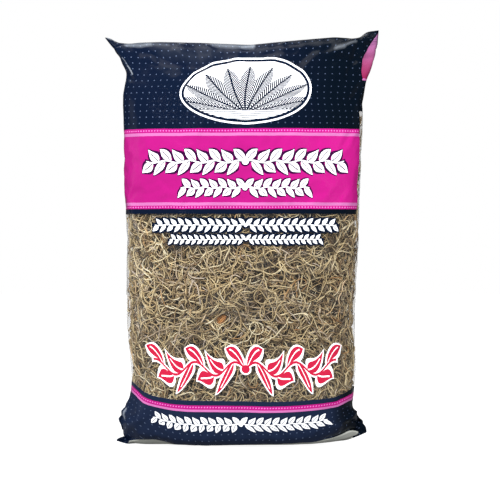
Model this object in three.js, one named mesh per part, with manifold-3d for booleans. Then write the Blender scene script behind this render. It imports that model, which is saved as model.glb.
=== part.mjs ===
// A sealed film bag packed with Spanish moss, standing on its base. Millimetres, +Z up.
// The front of the bag looks along -Y. The origin is on the ground under the middle of the base.
//
// The bag is one web of plastic film, wrapped into a tube, lapped and sealed down the back, and sealed
// flat across both ends. The end seals are wider than the filled body, so all four corners stand out
// as thin ears. Inside are a tangled bunch of moss strands and one loose fleck of bark.

import * as THREE from 'three';
import { mergeVertices } from 'three/addons/utils/BufferGeometryUtils.js';
import Module from 'manifold-3d';

// Driving dimensions
const BAG_HEIGHT = 350; // ground to the fold along the top
const BODY_WIDTH = 207; // the filled body at its widest
const BODY_DEPTH = 77; // front to back at the belly
const TOP_SEAL_WIDTH = 238; // tip to tip of the upper ears
const BASE_SEAL_WIDTH = 217; // tip to tip of the lower ears
const FILM = 0.5; // wall of the bag
const CLEARANCE = 0.35; // between the film and what it holds
const STRAND_RADIUS = 2;
const STRAND_COUNT = 150;

// Each level of the bag is a rounded outline: height, half width, the front and back of the outline,
// and its squareness, which is 2 for an ellipse, more for a boxy outline and less for a pointed one.
const HALF_WIDTH = BODY_WIDTH / 2;
const HALF_DEPTH = BODY_DEPTH / 2;
const BAG_LEVELS = [
  { z: 0, half: BASE_SEAL_WIDTH / 2 - 5, front: -HALF_DEPTH * 0.8, back: HALF_DEPTH * 0.8, square: 1.7 },
  { z: 5, half: BASE_SEAL_WIDTH / 2 - 2.5, front: -HALF_DEPTH * 0.93, back: HALF_DEPTH * 0.9, square: 1.75 },
  { z: 22, half: HALF_WIDTH + 0.5, front: -HALF_DEPTH, back: HALF_DEPTH * 0.95, square: 2.1 },
  { z: 50, half: HALF_WIDTH - 7, front: -HALF_DEPTH * 1.03, back: HALF_DEPTH * 0.97, square: 2.8 },
  { z: 125, half: HALF_WIDTH - 5, front: -HALF_DEPTH * 1.03, back: HALF_DEPTH * 0.97, square: 3.2 },
  { z: 220, half: HALF_WIDTH - 1.5, front: -HALF_DEPTH, back: HALF_DEPTH * 0.97, square: 3.2 },
  { z: 275, half: HALF_WIDTH, front: -HALF_DEPTH * 0.85, back: HALF_DEPTH * 0.9, square: 3 },
  { z: 310, half: HALF_WIDTH + 1, front: -HALF_DEPTH * 0.58, back: HALF_DEPTH * 0.76, square: 2.5 },
  { z: 332, half: HALF_WIDTH + 4, front: -HALF_DEPTH * 0.27, back: HALF_DEPTH * 0.58, square: 1.9 },
  { z: 344, half: HALF_WIDTH + 9, front: HALF_DEPTH * 0.0, back: HALF_DEPTH * 0.42, square: 1.6 },
  { z: BAG_HEIGHT, half: HALF_WIDTH + 12, front: HALF_DEPTH * 0.14, back: HALF_DEPTH * 0.29, square: 1.4 },
];

// The moss fills the body but not the ears, so its outline is rounder near both ends.
const MOSS_FLOOR = FILM + CLEARANCE;
const MOSS_TOP = 326;
const MOSS_LEVELS = [
  { z: MOSS_FLOOR, half: 82 },
  { z: 10, half: 89 },
  { z: 30, half: 93 },
  { z: 60, half: HALF_WIDTH - 8 },
  { z: 125, half: HALF_WIDTH - 6 },
  { z: 290, half: HALF_WIDTH - 1 },
  { z: 312, half: HALF_WIDTH - 8 },
  { z: MOSS_TOP, half: HALF_WIDTH - 22 },
];

// The heights of the film's rings of points, closer together where its shape changes most.
const LEVEL_HEIGHTS = [
  0, 2, 6, 13, 24, 38, 55, 90, 135, 180, 225, 265, 290, 308, 321, 332, 341, 346, BAG_HEIGHT,
];
const POINTS_AROUND = 40;

const wasm = await Module();
wasm.setup();

// ---------------------------------------------------------------- shared shape rules

// Reads one value of a list of levels at a height, along a smooth curve through the levels.
function valueAt(levels, key, height) {
  const last = levels.length - 1;
  let i = 0;
  while (i < last - 1 && height > levels[i + 1].z) i += 1;
  const slope = (k) => {
    const low = levels[Math.max(k - 1, 0)];
    const high = levels[Math.min(k + 1, last)];
    return (high[key] - low[key]) / (high.z - low.z);
  };
  const span = levels[i + 1].z - levels[i].z;
  const t = THREE.MathUtils.clamp((height - levels[i].z) / span, 0, 1);
  const t2 = t * t;
  const t3 = t2 * t;
  return (2 * t3 - 3 * t2 + 1) * levels[i][key] + (t3 - 2 * t2 + t) * span * slope(i)
    + (3 * t2 - 2 * t3) * levels[i + 1][key] + (t3 - t2) * span * slope(i + 1);
}

// The direction that a turn round an outline looks in. Turns crowd towards the four rounded corners.
const CORNER_CROWDING = 0.1;

function directionAt(turn, half, depth) {
  const crowded = turn + CORNER_CROWDING * Math.sin(4 * turn);
  return Math.atan2(depth * Math.sin(crowded), half * Math.cos(crowded));
}

// The distance from the middle of a rounded outline to its edge, in one direction.
function outlineReach(half, depth, square, direction) {
  const across = Math.abs(Math.cos(direction)) / half;
  const along = Math.abs(Math.sin(direction)) / depth;
  return (across ** square + along ** square) ** (-1 / square);
}

// How far the film is lifted near the top: the fold waves a little, climbs to the right and ends in ears.
const EAR_START = 96;
const EAR_LIFT_LEFT = 6.5;
const EAR_LIFT_RIGHT = 9;
const LIFT_FROM = 318;

function topLift(x, z) {
  const share = THREE.MathUtils.smoothstep(z, LIFT_FROM, BAG_HEIGHT);
  const ear = THREE.MathUtils.smoothstep(Math.abs(x), EAR_START, TOP_SEAL_WIDTH / 2);
  const earLift = ear * (x < 0 ? EAR_LIFT_LEFT : EAR_LIFT_RIGHT);
  const wave = 2.2 * (x / HALF_WIDTH) - 2.6 * Math.exp(-(((x - 7) / 22) ** 2));
  return share * (earLift + wave);
}

// A point of the bag's skin at a height and a turn round it, moved in from the outside by inset.
function bagPoint(turn, height, inset) {
  const half = valueAt(BAG_LEVELS, 'half', height);
  const front = valueAt(BAG_LEVELS, 'front', height);
  const back = valueAt(BAG_LEVELS, 'back', height);
  const square = valueAt(BAG_LEVELS, 'square', height);
  const depth = (back - front) / 2;
  const direction = directionAt(turn, half, depth);
  const reach = outlineReach(half, depth, square, direction) - inset;
  const x = reach * Math.cos(direction);
  const y = (front + back) / 2 + reach * Math.sin(direction);
  return new THREE.Vector3(x, y, height + topLift(x, height));
}

// The surface of the moss bunch, which stays inside the film, moved in by inset.
const SLOPE_ALLOWANCE = 1.1; // the bag's shoulders slope, so the moss keeps further from them
const FACET_ALLOWANCE = 0.45; // the bag's flat facets cut inside its round corners

function mossPoint(turn, height, inset) {
  const bagHalf = valueAt(BAG_LEVELS, 'half', height);
  const front = valueAt(BAG_LEVELS, 'front', height);
  const back = valueAt(BAG_LEVELS, 'back', height);
  const depth = (back - front) / 2;
  const direction = directionAt(turn, bagHalf, depth);
  const square = valueAt(BAG_LEVELS, 'square', height);
  const slope = Math.max(0, Math.abs(height - 150) - 110) / 60;
  const room = FILM + CLEARANCE + FACET_ALLOWANCE + SLOPE_ALLOWANCE * slope;
  const inBag = outlineReach(bagHalf, depth, square, direction) - room;
  const own = outlineReach(valueAt(MOSS_LEVELS, 'half', height), depth, Math.max(square, 2.2), direction);
  const reach = Math.min(inBag, own) - inset;
  const x = reach * Math.cos(direction);
  const y = (front + back) / 2 + reach * Math.sin(direction);
  return new THREE.Vector3(x, y, height);
}

// ---------------------------------------------------------------- solids from rings

// Joins rings of points, low to high and counter-clockwise from above, into one closed solid.
function loftSolid(rings) {
  const count = rings[0].length;
  const points = rings.flat();
  const middle = (ring) => ring.reduce((sum, p) => sum.add(p), new THREE.Vector3()).divideScalar(ring.length);
  const lowMiddle = points.push(middle(rings[0])) - 1;
  const highMiddle = points.push(middle(rings.at(-1))) - 1;
  const faces = [];
  for (let level = 0; level < rings.length - 1; level += 1) {
    for (let i = 0; i < count; i += 1) {
      const a = level * count + i;
      const b = level * count + ((i + 1) % count);
      faces.push(a, b, b + count, a, b + count, a + count);
    }
  }
  const lastRing = (rings.length - 1) * count;
  for (let i = 0; i < count; i += 1) {
    const next = (i + 1) % count;
    faces.push(lowMiddle, next, i, highMiddle, lastRing + i, lastRing + next);
  }
  return solidFrom(points, faces);
}

function solidFrom(points, faces) {
  const geometry = new THREE.BufferGeometry().setFromPoints(points);
  geometry.setIndex(faces);
  return toManifold(geometry);
}

function toManifold(geometry) {
  const bare = geometry.clone();
  bare.deleteAttribute('normal');
  bare.deleteAttribute('uv');
  const merged = mergeVertices(bare, 1e-4);
  return new wasm.Manifold(new wasm.Mesh({
    numProp: 3,
    vertProperties: new Float32Array(merged.attributes.position.array),
    triVerts: new Uint32Array(merged.index.array),
  }));
}

function toMesh(name, solid, material) {
  const { vertProperties, triVerts } = solid.getMesh();
  const geometry = new THREE.BufferGeometry();
  geometry.setAttribute('position', new THREE.BufferAttribute(vertProperties, 3));
  geometry.setIndex(new THREE.BufferAttribute(triVerts, 1));
  const mesh = new THREE.Mesh(geometry, material);
  mesh.name = name;
  return mesh;
}

function ringOf(pointAt, height, inset, count = POINTS_AROUND) {
  return Array.from({ length: count }, (_, i) => pointAt((2 * Math.PI * i) / count, height, inset));
}

// ---------------------------------------------------------------- the film bag

const TOP_SEAL = { depth: 13, thickness: 1.1, root: 1.2, sunk: 1.6, drop: 0.75, turns: 18 };
const BASE_SEAL = { depth: 14, thickness: 1, tipRise: { left: 3, right: 8 }, tipLength: 14, turns: 16 };
const BACK_LAP = { from: 42, to: 300, wide: 12, gap: 0.35, slit: 0.4, endCover: 8 };

// Places along a seal, from its left tip to its right one, with its tips' share from 0 to 1.
function alongSeal(width, turns, tipLength) {
  return Array.from({ length: turns + 1 }, (_, i) => {
    const x = (i / turns - 0.5) * width;
    return { x, tip: THREE.MathUtils.smoothstep(Math.abs(x), width / 2 - tipLength, width / 2) };
  });
}

// The flat seal across the top is folded back and down. Its ends are the upper ears.
function topSeal() {
  const { depth, thickness, root, sunk, drop, turns } = TOP_SEAL;
  const fold = (valueAt(BAG_LEVELS, 'front', BAG_HEIGHT) + valueAt(BAG_LEVELS, 'back', BAG_HEIGHT)) / 2;
  return loftSolid(alongSeal(TOP_SEAL_WIDTH, turns, TOP_SEAL_WIDTH / 2 - EAR_START).map(({ x, tip }) => {
    const reach = depth * (1 - 0.8 * tip);
    const high = BAG_HEIGHT - sunk + topLift(x, BAG_HEIGHT);
    return [
      new THREE.Vector3(x, fold - root, high - thickness),
      new THREE.Vector3(x, fold + reach, high - thickness - drop * reach),
      new THREE.Vector3(x, fold + reach, high - drop * reach),
      new THREE.Vector3(x, fold - root, high),
    ];
  }));
}

// The flat seal across the base is pressed flat under the bag. Its ends are the lower ears.
function baseSeal() {
  const { depth, thickness, tipRise, tipLength, turns } = BASE_SEAL;
  return loftSolid(alongSeal(BASE_SEAL_WIDTH, turns, tipLength).map(({ x, tip }) => {
    const low = (x < 0 ? tipRise.left : tipRise.right) * tip * tip;
    const halfDepth = (depth / 2) * (1 - 0.35 * tip);
    return [
      new THREE.Vector3(x, -halfDepth, low),
      new THREE.Vector3(x, halfDepth, low),
      new THREE.Vector3(x, halfDepth, low + thickness),
      new THREE.Vector3(x, -halfDepth, low + thickness),
    ];
  }));
}

// The outer edge of the web steps over the inner one down the middle of the back.
function backLap() {
  const { from, to, wide, gap } = BACK_LAP;
  const outline = [
    [-4, -0.2], [-0.7, -0.2], [-0.4, gap], [wide, gap], [wide, gap + FILM], [-1.2, gap + FILM], [-4, 0.05],
  ];
  const heights = [from, ...LEVEL_HEIGHTS.filter((z) => z > from + 4 && z < to - 4), to];
  return loftSolid(heights.map((z) => outline.map(([x, out]) => {
    const back = bagPoint(Math.PI / 2, z, 0);
    return new THREE.Vector3(x, back.y + out, z);
  })));
}

function boxSolid(width, depth, height, x, y, z) {
  const geometry = new THREE.BoxGeometry(width, depth, height);
  geometry.translate(x, y, z);
  return toManifold(geometry);
}

// The room inside the bag, moved in from the outside of the film by inset.
function roomInside(inset) {
  const heights = LEVEL_HEIGHTS.filter((z) => z > inset && z < BAG_HEIGHT - 5);
  return loftSolid([inset, ...heights].map((z) => {
    const shoulder = THREE.MathUtils.smoothstep(z, 270, BAG_HEIGHT - 10);
    return ringOf(bagPoint, z, inset * (1 + 1.4 * shoulder));
  }));
}

function filmBag() {
  const outside = loftSolid(LEVEL_HEIGHTS.map((z) => ringOf(bagPoint, z, 0)));
  const cavity = roomInside(FILM);
  const { from, to, slit, endCover } = BACK_LAP;
  const slitSize = [slit, HALF_DEPTH / 2, to - from - 2 * endCover];
  const slitMiddle = [slit / 2, HALF_DEPTH * 0.9, (from + to) / 2];
  const lapSlit = boxSolid(...slitSize, ...slitMiddle);
  return outside.add(topSeal()).add(baseSeal()).subtract(cavity).subtract(lapSlit).add(backLap());
}

// ---------------------------------------------------------------- the moss

// Steps of this share of a turn never line up, so the strands spread evenly.
const GOLDEN_SHARE = 0.618034;

// A repeatable random draw from 0 to 1.
function seededDraw(seed) {
  let state = seed;
  return () => {
    state = (state + 0x6d2b79f5) | 0;
    let t = Math.imul(state ^ (state >>> 15), 1 | state);
    t = (t + Math.imul(t ^ (t >>> 7), 61 | t)) ^ t;
    return ((t ^ (t >>> 14)) >>> 0) / 4294967296;
  };
}

const CORE_DEPTH = 11.5; // how far the matted core lies under the bunch's surface
const CORE_HEIGHTS = [MOSS_FLOOR, 12, 32, 60, 100, 145, 190, 235, 270, 296, MOSS_TOP - 10];
const CORE_POINTS_AROUND = 24;

// The matted middle of the bunch, which the strands stand out of.
function mossCore() {
  return loftSolid(CORE_HEIGHTS.map((z) => ringOf(mossPoint, z, CORE_DEPTH, CORE_POINTS_AROUND)));
}

// Turns that share out the distance round the bunch evenly, for placing strands all over it.
const TURN_STEPS = 360;
const DISTANCE_ROUND = [0];
for (let i = 1; i <= TURN_STEPS; i += 1) {
  const here = mossPoint((2 * Math.PI * i) / TURN_STEPS, HALF_WIDTH, 0);
  const before = mossPoint((2 * Math.PI * (i - 1)) / TURN_STEPS, HALF_WIDTH, 0);
  DISTANCE_ROUND.push(DISTANCE_ROUND.at(-1) + here.distanceTo(before));
}

function evenTurn(share) {
  const wanted = share * DISTANCE_ROUND.at(-1);
  const step = DISTANCE_ROUND.findIndex((distance) => distance >= wanted);
  return (2 * Math.PI * step) / TURN_STEPS;
}

// One strand: it comes up out of the core and curls along the bunch, in one of three layers, to a free tip.
const STRAND_STEPS = 6;
const ROOT_DEPTH = 3; // how far a strand's root lies under the core's surface
const ROOT_STEEPNESS = 5;
const TIP_TAPER = 0.4;
const STRAND_LENGTH = { least: 60, spread: 34 };
const STRAND_HEIGHTS = { low: 9, high: 317 };
const LAYER_DEPTHS = [1, 2.8, 4.6].map((radii) => radii * STRAND_RADIUS + 0.1);
const TURN_PROBE = 0.01; // a small turn each way, which measures how far a turn moves a strand sideways

function strandLine(index, count, draw) {
  const { low, high } = STRAND_HEIGHTS;
  const step = (STRAND_LENGTH.least + STRAND_LENGTH.spread * draw()) / STRAND_STEPS;
  const layer = LAYER_DEPTHS[index % LAYER_DEPTHS.length];
  let turn = evenTurn((index * GOLDEN_SHARE) % 1);
  let height = low + ((high - low) * (index + draw())) / count;
  let heading = 2 * Math.PI * draw();
  const curl = (draw() - 0.5) * 1.1;
  const wobble = 0.2 + 0.5 * draw();
  const phase = 2 * Math.PI * draw();
  const line = [];
  for (let i = 0; i <= STRAND_STEPS; i += 1) {
    const along = i / STRAND_STEPS;
    const sink = (CORE_DEPTH + ROOT_DEPTH - layer) * (1 - along) ** ROOT_STEEPNESS;
    const at = mossPoint(turn, height, layer + sink);
    const outward = mossPoint(turn, height, layer + sink - 1).sub(at).normalize();
    line.push({ at, outward });
    heading += curl + wobble * Math.sin(phase + 4.5 * along);
    const ahead = mossPoint(turn + TURN_PROBE, height, layer);
    const behind = mossPoint(turn - TURN_PROBE, height, layer);
    const distancePerTurn = ahead.distanceTo(behind) / (2 * TURN_PROBE);
    turn += (step * Math.cos(heading)) / distancePerTurn;
    height += step * Math.sin(heading);
    if (height < low || height > high) {
      height = THREE.MathUtils.clamp(height, low, high);
      heading = -heading;
    }
  }
  return line;
}

// Points close together along the part of a strand that shows above the core.
const CHECKS_PER_STEP = 4;

function shownPoints(line) {
  const points = [];
  for (let i = 0; i < line.length - 1; i += 1) {
    for (let k = 0; k < CHECKS_PER_STEP; k += 1) {
      points.push(line[i].at.clone().lerp(line[i + 1].at, k / CHECKS_PER_STEP));
    }
  }
  return points.slice(3);
}

// Draws the strands one by one. A strand may pass over or under the others, but none lies in another.
const TRIES_PER_STRAND = 60;
const STRAND_SPACING = 1.85 * STRAND_RADIUS;

function strandLines(count, draw) {
  const lines = [];
  const taken = [];
  for (let index = 0; index < count; index += 1) {
    for (let tries = 0; tries < TRIES_PER_STRAND; tries += 1) {
      const line = strandLine(index, count, draw);
      const shown = shownPoints(line);
      const free = shown.every((p) => taken.every((q) => p.distanceToSquared(q) > STRAND_SPACING ** 2));
      if (free) {
        lines.push(line);
        taken.push(...shown);
        break;
      }
    }
  }
  return lines;
}

// A three-sided tube along a strand's line, with one edge of it facing out.
function strandSolid(line) {
  const rings = line.map(({ at, outward }, i) => {
    const before = line[Math.max(i - 1, 0)].at;
    const after = line[Math.min(i + 1, line.length - 1)].at;
    const forward = after.clone().sub(before).normalize();
    const side = new THREE.Vector3().crossVectors(forward, outward).normalize();
    const up = new THREE.Vector3().crossVectors(side, forward);
    const radius = i === line.length - 1 ? STRAND_RADIUS * TIP_TAPER : STRAND_RADIUS;
    return [0, 1, 2].map((k) => {
      const angle = (2 * Math.PI * k) / 3 + Math.PI / 2;
      return at.clone()
        .addScaledVector(side, -radius * Math.cos(angle))
        .addScaledVector(up, radius * Math.sin(angle));
    });
  });
  return loftSolid(rings);
}

const FLECK = { turn: 0.176, height: 110, lean: 0.7, long: 8.5, wide: 4.6, thick: 1.3 };

// A flat fleck of bark, pressed into the front of the matted core, left of the middle.
function barkFleck(grow) {
  const geometry = new THREE.SphereGeometry(1, 10, 6);
  geometry.scale(FLECK.wide / 2 + grow, FLECK.thick / 2 + grow, FLECK.long / 2 + grow);
  geometry.rotateY(FLECK.lean);
  const seat = mossPoint(-Math.PI / 2 - FLECK.turn, FLECK.height, CORE_DEPTH);
  geometry.translate(seat.x, seat.y, seat.z);
  return toManifold(geometry);
}

function mossBunch() {
  const strands = strandLines(STRAND_COUNT, seededDraw(20240)).map(strandSolid);
  const joined = wasm.Manifold.union([mossCore(), ...strands]);
  return largestBody(joined.intersect(roomInside(FILM + CLEARANCE)).subtract(barkFleck(CLEARANCE)));
}

// Keeps the largest body: decompose() splits off scraps and the walls of hollows sealed between strands.
function largestBody(solid) {
  return solid.decompose().reduce((best, body) => (body.volume() > best.volume() ? body : best));
}

// ---------------------------------------------------------------- the scene

const filmMaterial = new THREE.MeshStandardMaterial({
  color: 0x1b2a42, roughness: 0.28, metalness: 0, transparent: true, opacity: 0.45,
});
const mossMaterial = new THREE.MeshStandardMaterial({ color: 0x8b7a60, roughness: 0.9, metalness: 0 });
const barkMaterial = new THREE.MeshStandardMaterial({ color: 0x9a6a33, roughness: 0.8, metalness: 0 });

const mossBag = new THREE.Group();
mossBag.add(toMesh('film_bag', filmBag(), filmMaterial));
mossBag.add(toMesh('moss_bunch', mossBunch(), mossMaterial));
mossBag.add(toMesh('bark_fleck', barkFleck(0), barkMaterial));

export default mossBag;
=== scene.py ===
import math

import bpy
import numpy as np
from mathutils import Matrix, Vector, noise


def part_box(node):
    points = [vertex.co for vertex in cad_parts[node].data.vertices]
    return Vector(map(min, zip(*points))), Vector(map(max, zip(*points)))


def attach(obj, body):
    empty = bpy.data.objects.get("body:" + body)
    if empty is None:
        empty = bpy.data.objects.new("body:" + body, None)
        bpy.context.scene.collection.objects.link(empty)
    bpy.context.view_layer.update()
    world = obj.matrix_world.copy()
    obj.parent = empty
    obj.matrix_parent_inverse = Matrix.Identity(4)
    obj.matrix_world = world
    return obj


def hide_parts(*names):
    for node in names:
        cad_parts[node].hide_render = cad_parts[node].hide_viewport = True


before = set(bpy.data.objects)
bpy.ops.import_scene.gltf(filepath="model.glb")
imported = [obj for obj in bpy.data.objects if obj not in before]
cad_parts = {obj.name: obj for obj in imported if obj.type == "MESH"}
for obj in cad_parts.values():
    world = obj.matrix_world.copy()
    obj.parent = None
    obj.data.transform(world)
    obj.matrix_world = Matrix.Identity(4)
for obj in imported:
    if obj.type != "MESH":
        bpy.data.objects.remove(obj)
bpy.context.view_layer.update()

MM = 0.001
FILM_COLUMNS = 264
HALF_GIRTH = 0.238

# Each level of the skin, in millimetres: its height, how far it reaches to the left, right, front and
# back, where its side folds lie, and how blunt its face and its side folds are.
SKIN_LEVELS = np.array([
    # height left  right  front  back  fold  face fold_bluntness
    [0.0, 99.5, 101.5, -29.5, 29.5, 0.0, 2.3, 1.7],
    [3.5, 102.6, 104.2, -34.0, 32.5, 0.0, 2.3, 1.8],
    [8.0, 103.2, 104.6, -36.6, 34.8, 0.0, 2.4, 1.9],
    [14.0, 105.4, 102.8, -37.8, 35.8, 0.0, 2.5, 2.0],
    [19.0, 106.5, 100.0, -38.3, 36.3, 0.0, 2.5, 2.1],
    [24.0, 105.0, 97.8, -38.7, 36.6, 0.0, 2.6, 2.2],
    [32.0, 101.6, 95.8, -39.0, 36.9, 0.0, 2.8, 2.4],
    [44.0, 97.4, 97.4, -39.4, 37.2, 0.0, 3.0, 2.7],
    [60.0, 96.4, 99.0, -39.5, 37.3, 0.0, 3.1, 2.9],
    [90.0, 98.6, 98.0, -39.5, 37.3, 0.0, 3.2, 3.1],
    [130.0, 99.4, 97.6, -39.4, 37.3, 0.0, 3.2, 3.2],
    [175.0, 98.2, 100.6, -39.0, 37.3, 0.0, 3.2, 3.2],
    [220.0, 100.8, 101.8, -38.3, 37.1, 0.0, 3.2, 3.2],
    [258.0, 101.8, 103.8, -35.4, 35.9, 0.0, 3.2, 3.1],
    [285.0, 102.3, 104.3, -30.6, 33.8, 0.6, 3.1, 2.9],
    [303.0, 103.0, 104.6, -25.6, 31.0, 1.8, 3.0, 2.6],
    [318.0, 100.6, 107.6, -18.6, 27.4, 3.4, 2.9, 2.2],
    [330.0, 102.0, 112.8, -11.6, 22.8, 5.0, 2.8, 1.8],
    [339.0, 106.6, 116.7, -5.2, 18.2, 6.4, 2.8, 1.5],
    [345.0, 110.2, 118.2, 0.6, 13.8, 7.4, 2.8, 1.2],
    [349.0, 112.0, 118.5, 7.7, 8.7, 8.2, 2.8, 1.0],
])


def level_values(heights, column):
    """Reads one column of the levels at some heights, along a smooth curve through the levels."""
    known, values = SKIN_LEVELS[:, 0], SKIN_LEVELS[:, column]
    slopes = np.gradient(values, known)
    i = np.clip(np.searchsorted(known, heights) - 1, 0, len(known) - 2)
    span = known[i + 1] - known[i]
    t = np.clip((heights - known[i]) / span, 0, 1)
    return ((2 * t**3 - 3 * t**2 + 1) * values[i] + (t**3 - 2 * t**2 + t) * span * slopes[i]
            + (3 * t**2 - 2 * t**3) * values[i + 1] + (t**3 - t**2) * span * slopes[i + 1])


def smooth_share(values, start, end):
    """How far values are on the way from start to end, 0 to 1, eased at both ends."""
    t = np.clip((values - start) / (end - start), 0, 1)
    return t * t * (3 - 2 * t)


RING_STEPS = 3600


def skin_ring(height):
    """Points evenly spaced round the film at a height, from the back's middle by the left side and front."""
    level = [float(level_values(np.array(height), column)) for column in range(1, SKIN_LEVELS.shape[1])]
    left, right, front, back, fold, face, blunt = level
    turn = np.linspace(0, 2 * math.pi, RING_STEPS + 1)
    across, facing = np.sin(turn), np.cos(turn)
    x = (right - left) / 2 - (left + right) / 2 * across
    bulge = np.clip(1 - np.abs(across) ** face, 0, 1) ** (1 / blunt)
    y = fold + np.where(facing > 0, (back - fold) * bulge, (front - fold) * bulge)
    walked = np.concatenate([[0], np.cumsum(np.hypot(np.diff(x), np.diff(y)))])
    even = np.linspace(0, walked[-1], FILM_COLUMNS + 1)
    return np.stack([np.interp(even, walked, x), np.interp(even, walked, y)], axis=1)


# Rows of points: out over the base from its seal, up the body, and along the folded upper seal.
BODY_TOP = 349
BASE_SHARES = np.linspace(0, 1, 13)[:-1]
BODY_HEIGHTS = np.concatenate([np.linspace(0, 12, 9)[:-1], np.linspace(12, 300, 112)[:-1],
                               np.linspace(300, BODY_TOP, 36)])
SEAL_STEPS = np.array([0.5, 1.1, 1.8, 2.6, 3.5, 4.6, 6.0, 7.6, 9.2, 10.8, 12.2, 13.0])
BASE_ROWS, BODY_ROWS = len(BASE_SHARES), len(BODY_HEIGHTS)
SEAL_START = BASE_ROWS + BODY_ROWS
ROWS = SEAL_START + len(SEAL_STEPS)

# The base's ends reach a little past its edge into the ears, and its middle lies over the lower seal.
LEFT_TIP, RIGHT_TIP, OVER_SEAL = 0.095, 0.07, 0.9
UNDERSIDE_PRINT, UNDERSIDE_DEPTH = -60, 29.5
skin = np.zeros((ROWS, FILM_COLUMNS + 1, 3))
print_height = np.zeros((ROWS, FILM_COLUMNS + 1))
base_share = np.ones((ROWS, 1))
edge_of_base = skin_ring(0)
for row, share in enumerate(BASE_SHARES):
    tips = 1 + np.where(edge_of_base[:, 0] < 0, LEFT_TIP, RIGHT_TIP) * (1 - share) ** 3
    skin[row, :, 0] = edge_of_base[:, 0] * tips
    skin[row, :, 1] = edge_of_base[:, 1] * share
    skin[row, :, 2] = OVER_SEAL * (1 - smooth_share(share, 0.2, 0.5))
    print_height[row] = UNDERSIDE_PRINT - UNDERSIDE_DEPTH * (1 - share)
    base_share[row] = share
for row, height in enumerate(BODY_HEIGHTS, BASE_ROWS):
    skin[row, :, :2] = skin_ring(height)
    skin[row, :, 2] = height
    print_height[row] = height

# The upper seal leaves the body leaning back, and bends over, except at the ears, which stand up.
# Its leans are degrees back from upright, along its middle and at the ears.
LEAN_AT_FOLD, LEAN_PAST_BEND, BEND_LENGTH = (50, 12), (146, 8), 6.5
LEFT_EAR_LEAN, RIGHT_EAR_LEAN = math.radians(-38), math.radians(5)
SEAL_BACK, HALF_SEAL = 8.2, 0.2
columns = np.arange(FILM_COLUMNS + 1)
front_layer = (columns > FILM_COLUMNS / 4) & (columns < 3 * FILM_COLUMNS / 4)
fold_line = skin[SEAL_START - 1]
fold_reach = np.abs(fold_line[:, 0])
ear = smooth_share(fold_reach, 95, 112)
ear_lean = np.where(fold_line[:, 0] < 0, LEFT_EAR_LEAN, RIGHT_EAR_LEAN) * smooth_share(fold_reach, 90, 112)
start_angle, end_angle = (np.radians(middle * (1 - ear) + tip * ear)
                          for middle, tip in (LEAN_AT_FOLD, LEAN_PAST_BEND))
middle_line = fold_line.copy()
middle_line[:, 1] = SEAL_BACK
before = 0.0
for row, along in enumerate(SEAL_STEPS, SEAL_START):
    angle = start_angle + (end_angle - start_angle) * smooth_share((along + before) / 2, 0, BEND_LENGTH)
    step = along - before
    middle_line[:, 0] += step * np.sin(ear_lean)
    middle_line[:, 1] += step * np.sin(angle) * np.cos(ear_lean)
    middle_line[:, 2] += step * np.cos(angle) * np.cos(ear_lean)
    apart = np.where(front_layer, -HALF_SEAL, HALF_SEAL) * (along < SEAL_STEPS[-1])
    skin[row] = middle_line
    skin[row, :, 1] += apart * np.cos(angle)
    skin[row, :, 2] -= apart * np.sin(angle)
    print_height[row] = BODY_TOP + along
    before = along

# Tables of places across the bag, in millimetres. The fold along the top rises and dips. The base
# rests on its seal, and its edge curls up clear of the ground, most of all towards the two lower
# corners, where its underside shows, painted pale as a reflection of the floor. The printed lines climb
# towards those corners.
TOP_WAVE = np.array([(-125, -4), (-112, -4.2), (-107, -1.6), (-90, 0.4), (-71, 1.0), (-36, 0.2), (7, -1.6),
                     (28, 0.6), (50, 2.6), (81, 5.2), (95, 4.2), (103, 2.2), (110, -1.5), (125, 0.3)])
BASE_EDGE = np.array([(-125, 3.6), (-109, 4.4), (-99.5, 3.6), (-91, 5.2), (-84, 6.2), (-76, 6.8), (-68, 5.4),
                      (-57, 2.8), (-45, 1.9), (-20, 1.8), (8, 2.6), (40, 3.2), (62.6, 4.0), (76, 7.0),
                      (86.8, 10.6), (94.6, 14.2), (101, 11.2), (108, 11.2), (125, 11.2)])
SEAL_LINE = np.array([(-125, 4.6), (-109, 4.4), (-101.8, 1.6), (-85, 0.2), (60, 0.2), (72.8, 1.4), (90, 3.6),
                      (103, 8.6), (108, 11.2), (125, 11.2)])
PRINT_CLIMB = np.array([(-125, 24), (-105, 22), (-97, 16.6), (-85, 7.2), (-75, 4.0), (-60, 1.6), (-45, 0.6),
                        (-20, 0.4), (0, 0.1), (19, -0.6), (35, -0.5), (50, 0.1), (71, 1.7), (82, 2.9),
                        (87, 5.4), (92, 7.6), (96, 9.4), (105, 14), (125, 22)])


def along_bag(table, places):
    """Reads a table of places across the bag, its corners rounded off."""
    fine = np.arange(-140, 140.5, 0.5)
    window = np.hanning(23)
    eased = np.convolve(np.interp(fine, table[:, 0], table[:, 1]), window / window.sum(), mode="same")
    return np.interp(places, fine, eased)


heights = skin[:, :, 2].copy()
bag_places = skin[:, :, 0]
top_share = smooth_share(np.maximum(heights, print_height - 14), 312, BODY_TOP)
skin[:, :, 2] += top_share * along_bag(TOP_WAVE, bag_places)
low_share = 1 - smooth_share(heights, 0, 42)
seal_lift, edge_lift = along_bag(SEAL_LINE, bag_places), along_bag(BASE_EDGE, bag_places)
skin[:, :, 2] += low_share * (seal_lift + (edge_lift - seal_lift) * base_share**1.6)
climb_share = (1 - smooth_share(heights, 45, 125)) * (base_share == 1)
print_height -= along_bag(PRINT_CLIMB, bag_places) * climb_share

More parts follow.
